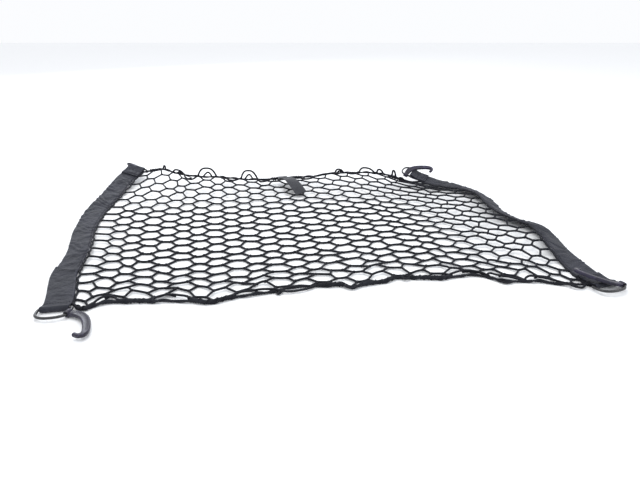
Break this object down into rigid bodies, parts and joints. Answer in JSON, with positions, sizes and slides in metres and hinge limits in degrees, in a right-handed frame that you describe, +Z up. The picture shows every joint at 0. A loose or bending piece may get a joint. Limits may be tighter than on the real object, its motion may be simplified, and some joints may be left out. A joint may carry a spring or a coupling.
{
  "type": "cargo net",
  "caption": "Knotless cargo net laid out between two webbing side bands and two border cords, with a D-ring and a plastic hook at each corner and a pull tab on the far cord.",
  "frame": {"origin": "middle of the footprint on the surface the net lies on", "axes": "+X from the left band to the right band, +Y from the near cord to the far cord, +Z up"},
  "size_m": [1.0222, 0.7712, 0.0426],
  "materials": {
    "webbing": "woven charcoal webbing",
    "netting": "knitted near-black cord",
    "tab_cloth": "smooth charcoal tape with a slight sheen",
    "ring_wire": "black coated wire",
    "hook_plastic": "dark purple-grey moulded plastic"
  },
  "bodies": {
    "net_laid": {"left_band": "webbing", "right_band": "webbing", "near_cord": "netting", "far_cord": "netting", "net": "netting", "tab": "tab_cloth", "ring_near_left": "ring_wire", "ring_near_right": "ring_wire", "ring_far_right": "ring_wire", "ring_far_left": "ring_wire"},
    "hook_near_left": {"hook_near_left": "hook_plastic"},
    "hook_near_right": {"hook_near_right": "hook_plastic"},
    "hook_far_right": {"hook_far_right": "hook_plastic"},
    "hook_far_left": {"hook_far_left": "hook_plastic"}
  },
  "joints": [
    {"name": "hook_near_left_swing", "type": "hinge", "parent": "net_laid", "child": "hook_near_left", "pos_m": [-0.35766, -0.32559, 0.00573], "axis": [-0.2698, -0.9617, 0.0477], "range_deg": [0, 135]},
    {"name": "hook_near_right_swing", "type": "hinge", "parent": "net_laid", "child": "hook_near_right", "pos_m": [0.505, -0.24547, 0.00643], "axis": [-0.2007, 0.9697, -0.1391], "range_deg": [0, 155]},
    {"name": "hook_far_right_swing", "type": "hinge", "parent": "net_laid", "child": "hook_far_right", "pos_m": [0.22829, 0.24428, 0.02824], "axis": [0.8206, -0.5126, -0.2525], "range_deg": [0, 155]},
    {"name": "hook_far_left_swing", "type": "hinge", "parent": "net_laid", "child": "hook_far_left", "pos_m": [-0.46439, 0.32242, 0.01467], "axis": [0.955, -0.0579, -0.291], "range_deg": [0, 135]}
  ]
}
